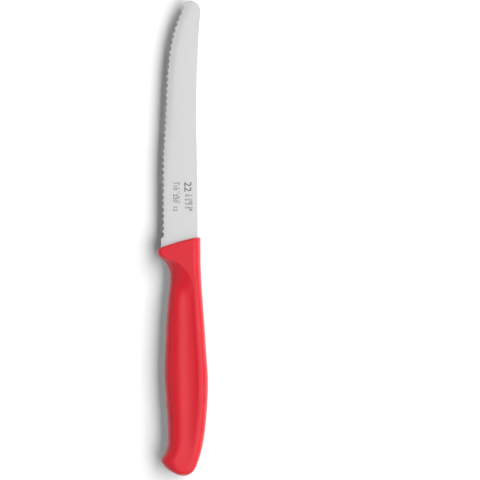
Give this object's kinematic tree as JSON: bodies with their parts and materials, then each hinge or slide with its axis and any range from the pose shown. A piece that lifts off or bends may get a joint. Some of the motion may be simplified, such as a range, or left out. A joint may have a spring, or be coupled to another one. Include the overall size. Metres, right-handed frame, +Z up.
{
  "type": "tomato knife",
  "caption": "Small serrated table knife with a round-tipped steel blade and a moulded plastic handle with a finger guard and a hooked butt.",
  "frame": {"origin": "below the middle of the knife, on the surface it lies on", "axes": "+Y towards the tip along the knife's length, +Z up out of the flat side, -X towards the cutting edge"},
  "size_m": [0.0235, 0.22, 0.012],
  "materials": {
    "steel": "satin ground",
    "plastic": "fine moulded satin"
  },
  "bodies": {
    "root": {"blade": "steel", "handle": "plastic"}
  },
  "joints": []
}
